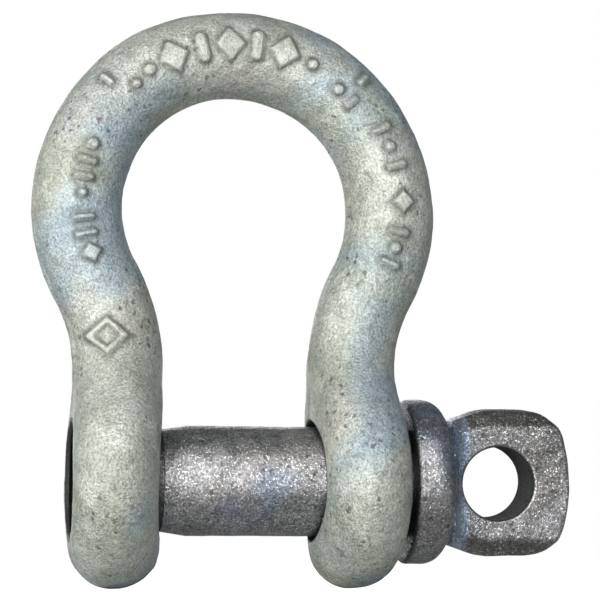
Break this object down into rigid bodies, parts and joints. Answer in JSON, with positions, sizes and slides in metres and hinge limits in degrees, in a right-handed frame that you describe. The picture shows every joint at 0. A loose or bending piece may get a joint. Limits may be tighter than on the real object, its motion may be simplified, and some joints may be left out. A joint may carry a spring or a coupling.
{
  "type": "bow shackle",
  "caption": "Forged galvanised bow shackle: a round bar bow with two eared legs, closed by a collared screw pin with a flattened eye head.",
  "frame": {"origin": "on the pin's axis, halfway between the ears", "axes": "+X along the pin towards its head, +Z from the pin towards the crown, +Y through the bow's flat view, away from the front"},
  "size_m": [0.0791, 0.0308, 0.0852],
  "materials": {
    "galvanised_bow": "hot-dip galvanised forging: dull pale grey with a fine grain and darker pits",
    "galvanised_pin": "hot-dip galvanised and machined: darker grey with a sparkling grain"
  },
  "bodies": {
    "bow": {"bow": "galvanised_bow"},
    "screw_pin": {"screw_pin": "galvanised_pin"}
  },
  "joints": [
    {"name": "pin_withdraw", "type": "slide", "parent": "bow", "child": "screw_pin", "axis": [1, 0, 0], "range_m": [0, 0.075]}
  ]
}
